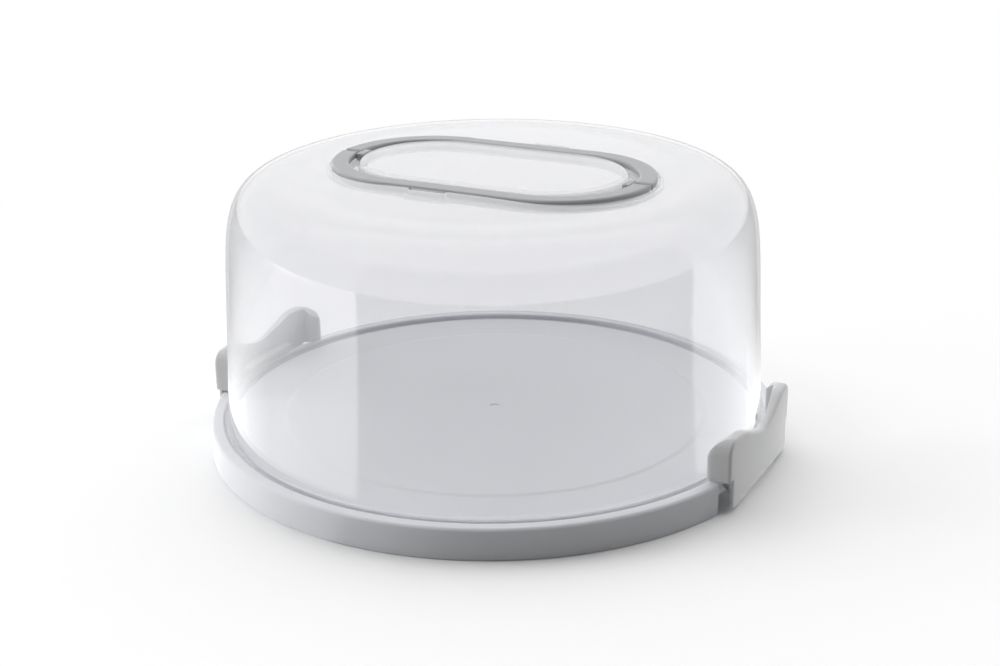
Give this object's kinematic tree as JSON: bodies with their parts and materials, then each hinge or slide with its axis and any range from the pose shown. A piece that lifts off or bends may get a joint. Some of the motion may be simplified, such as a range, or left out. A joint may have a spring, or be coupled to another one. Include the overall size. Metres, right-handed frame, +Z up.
{
  "type": "round cake carrier",
  "caption": "Round cake carrier: flat tray, translucent lift-off dome held by pivoting side latches, and a carrying handle that folds flat into the dome's top.",
  "frame": {"origin": "under the middle of the tray, on the surface that it stands on", "axes": "+Z up; +X through the right-hand latch and along the folded handle; the carrier is seen from its -Y side"},
  "size_m": [0.3316, 0.33, 0.163],
  "materials": {
    "tray": "satin moulded grey plastic",
    "dome": "milky translucent moulded plastic, smooth and glossy",
    "handle": "satin moulded grey plastic",
    "latch": "satin moulded grey plastic",
    "pins": "drawn steel wire"
  },
  "bodies": {
    "base": {"base_tray": "tray", "latch_pin_right": "pins", "latch_pin_left": "pins"},
    "lid": {"dome_lid": "dome", "pivot_block_right": "handle", "pivot_block_left": "handle", "handle_pins_front": "pins", "handle_pins_rear": "pins"},
    "latch_right": {"latch_right": "latch"},
    "latch_left": {"latch_left": "latch"},
    "handle_front": {"handle_half_front": "handle"},
    "handle_rear": {"handle_half_rear": "handle"}
  },
  "joints": [
    {"name": "lid_lift", "type": "slide", "parent": "base", "child": "lid", "axis": [0, 0, 1], "range_m": [0, 0.18]},
    {"name": "latch_right_hinge", "type": "hinge", "parent": "base", "child": "latch_right", "pos_m": [0.16, 0, 0.0036], "axis": [0, 1, 0], "range_deg": [0, 50]},
    {"name": "latch_left_hinge", "type": "hinge", "parent": "base", "child": "latch_left", "pos_m": [-0.16, 0, 0.0036], "axis": [0, -1, 0], "range_deg": [0, 50]},
    {"name": "handle_front_hinge", "type": "hinge", "parent": "lid", "child": "handle_front", "pos_m": [0, -0.0027, 0.1602], "axis": [-1, 0, 0], "range_deg": [0, 90]},
    {"name": "handle_rear_hinge", "type": "hinge", "parent": "lid", "child": "handle_rear", "pos_m": [0, 0.0027, 0.1602], "axis": [1, 0, 0], "range_deg": [0, 90]}
  ]
}
